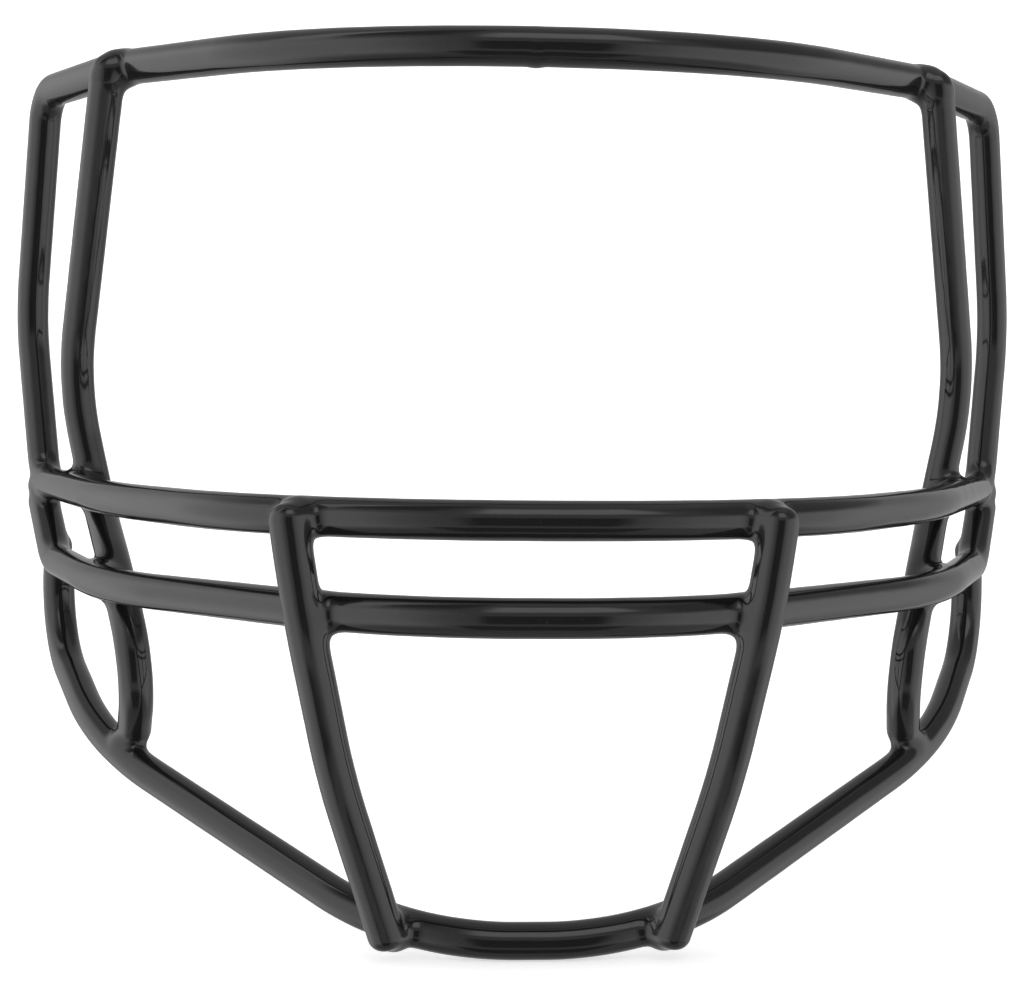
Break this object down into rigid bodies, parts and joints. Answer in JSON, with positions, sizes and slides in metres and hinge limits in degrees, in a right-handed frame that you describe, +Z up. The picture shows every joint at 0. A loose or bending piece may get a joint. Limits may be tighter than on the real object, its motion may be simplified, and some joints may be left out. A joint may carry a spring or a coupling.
{
  "type": "football helmet face guard",
  "caption": "Open cage of bent, welded and dip-coated steel wires that guards the face at the front of an American football helmet.",
  "frame": {"origin": "centre of the guard's box, on its plane of symmetry", "axes": "+X is to the right for someone facing the guard, +Y points back towards the wearer's face, +Z points up to the brow bar"},
  "size_m": [0.2574, 0.1418, 0.1962],
  "materials": {
    "steel_wire": "drawn steel wire, unpolished",
    "weld_steel": "resistance-weld metal with heat tint",
    "coat": "gloss black dipped polymer, slightly rippled"
  },
  "bodies": {
    "root": {"frame_wire": "steel_wire", "lower_bar": "steel_wire", "jaw_wire": "steel_wire", "side_wire_left": "steel_wire", "side_wire_right": "steel_wire", "front_wire_left": "steel_wire", "front_wire_right": "steel_wire", "butt_weld": "weld_steel", "weld_frame_foot_left": "weld_steel", "weld_jaw_heel_left": "weld_steel", "weld_brow_corner_left": "weld_steel", "weld_side_to_upper_bar_left": "weld_steel", "weld_side_to_lower_bar_left": "weld_steel", "weld_side_to_jaw_left": "weld_steel", "weld_front_to_upper_bar_left": "weld_steel", "weld_front_to_lower_bar_left": "weld_steel", "weld_front_to_jaw_left": "weld_steel", "weld_frame_foot_right": "weld_steel", "weld_jaw_heel_right": "weld_steel", "weld_brow_corner_right": "weld_steel", "weld_side_to_upper_bar_right": "weld_steel", "weld_side_to_lower_bar_right": "weld_steel", "weld_side_to_jaw_right": "weld_steel", "weld_front_to_upper_bar_right": "weld_steel", "weld_front_to_lower_bar_right": "weld_steel", "weld_front_to_jaw_right": "weld_steel", "coat": "coat"}
  },
  "joints": []
}
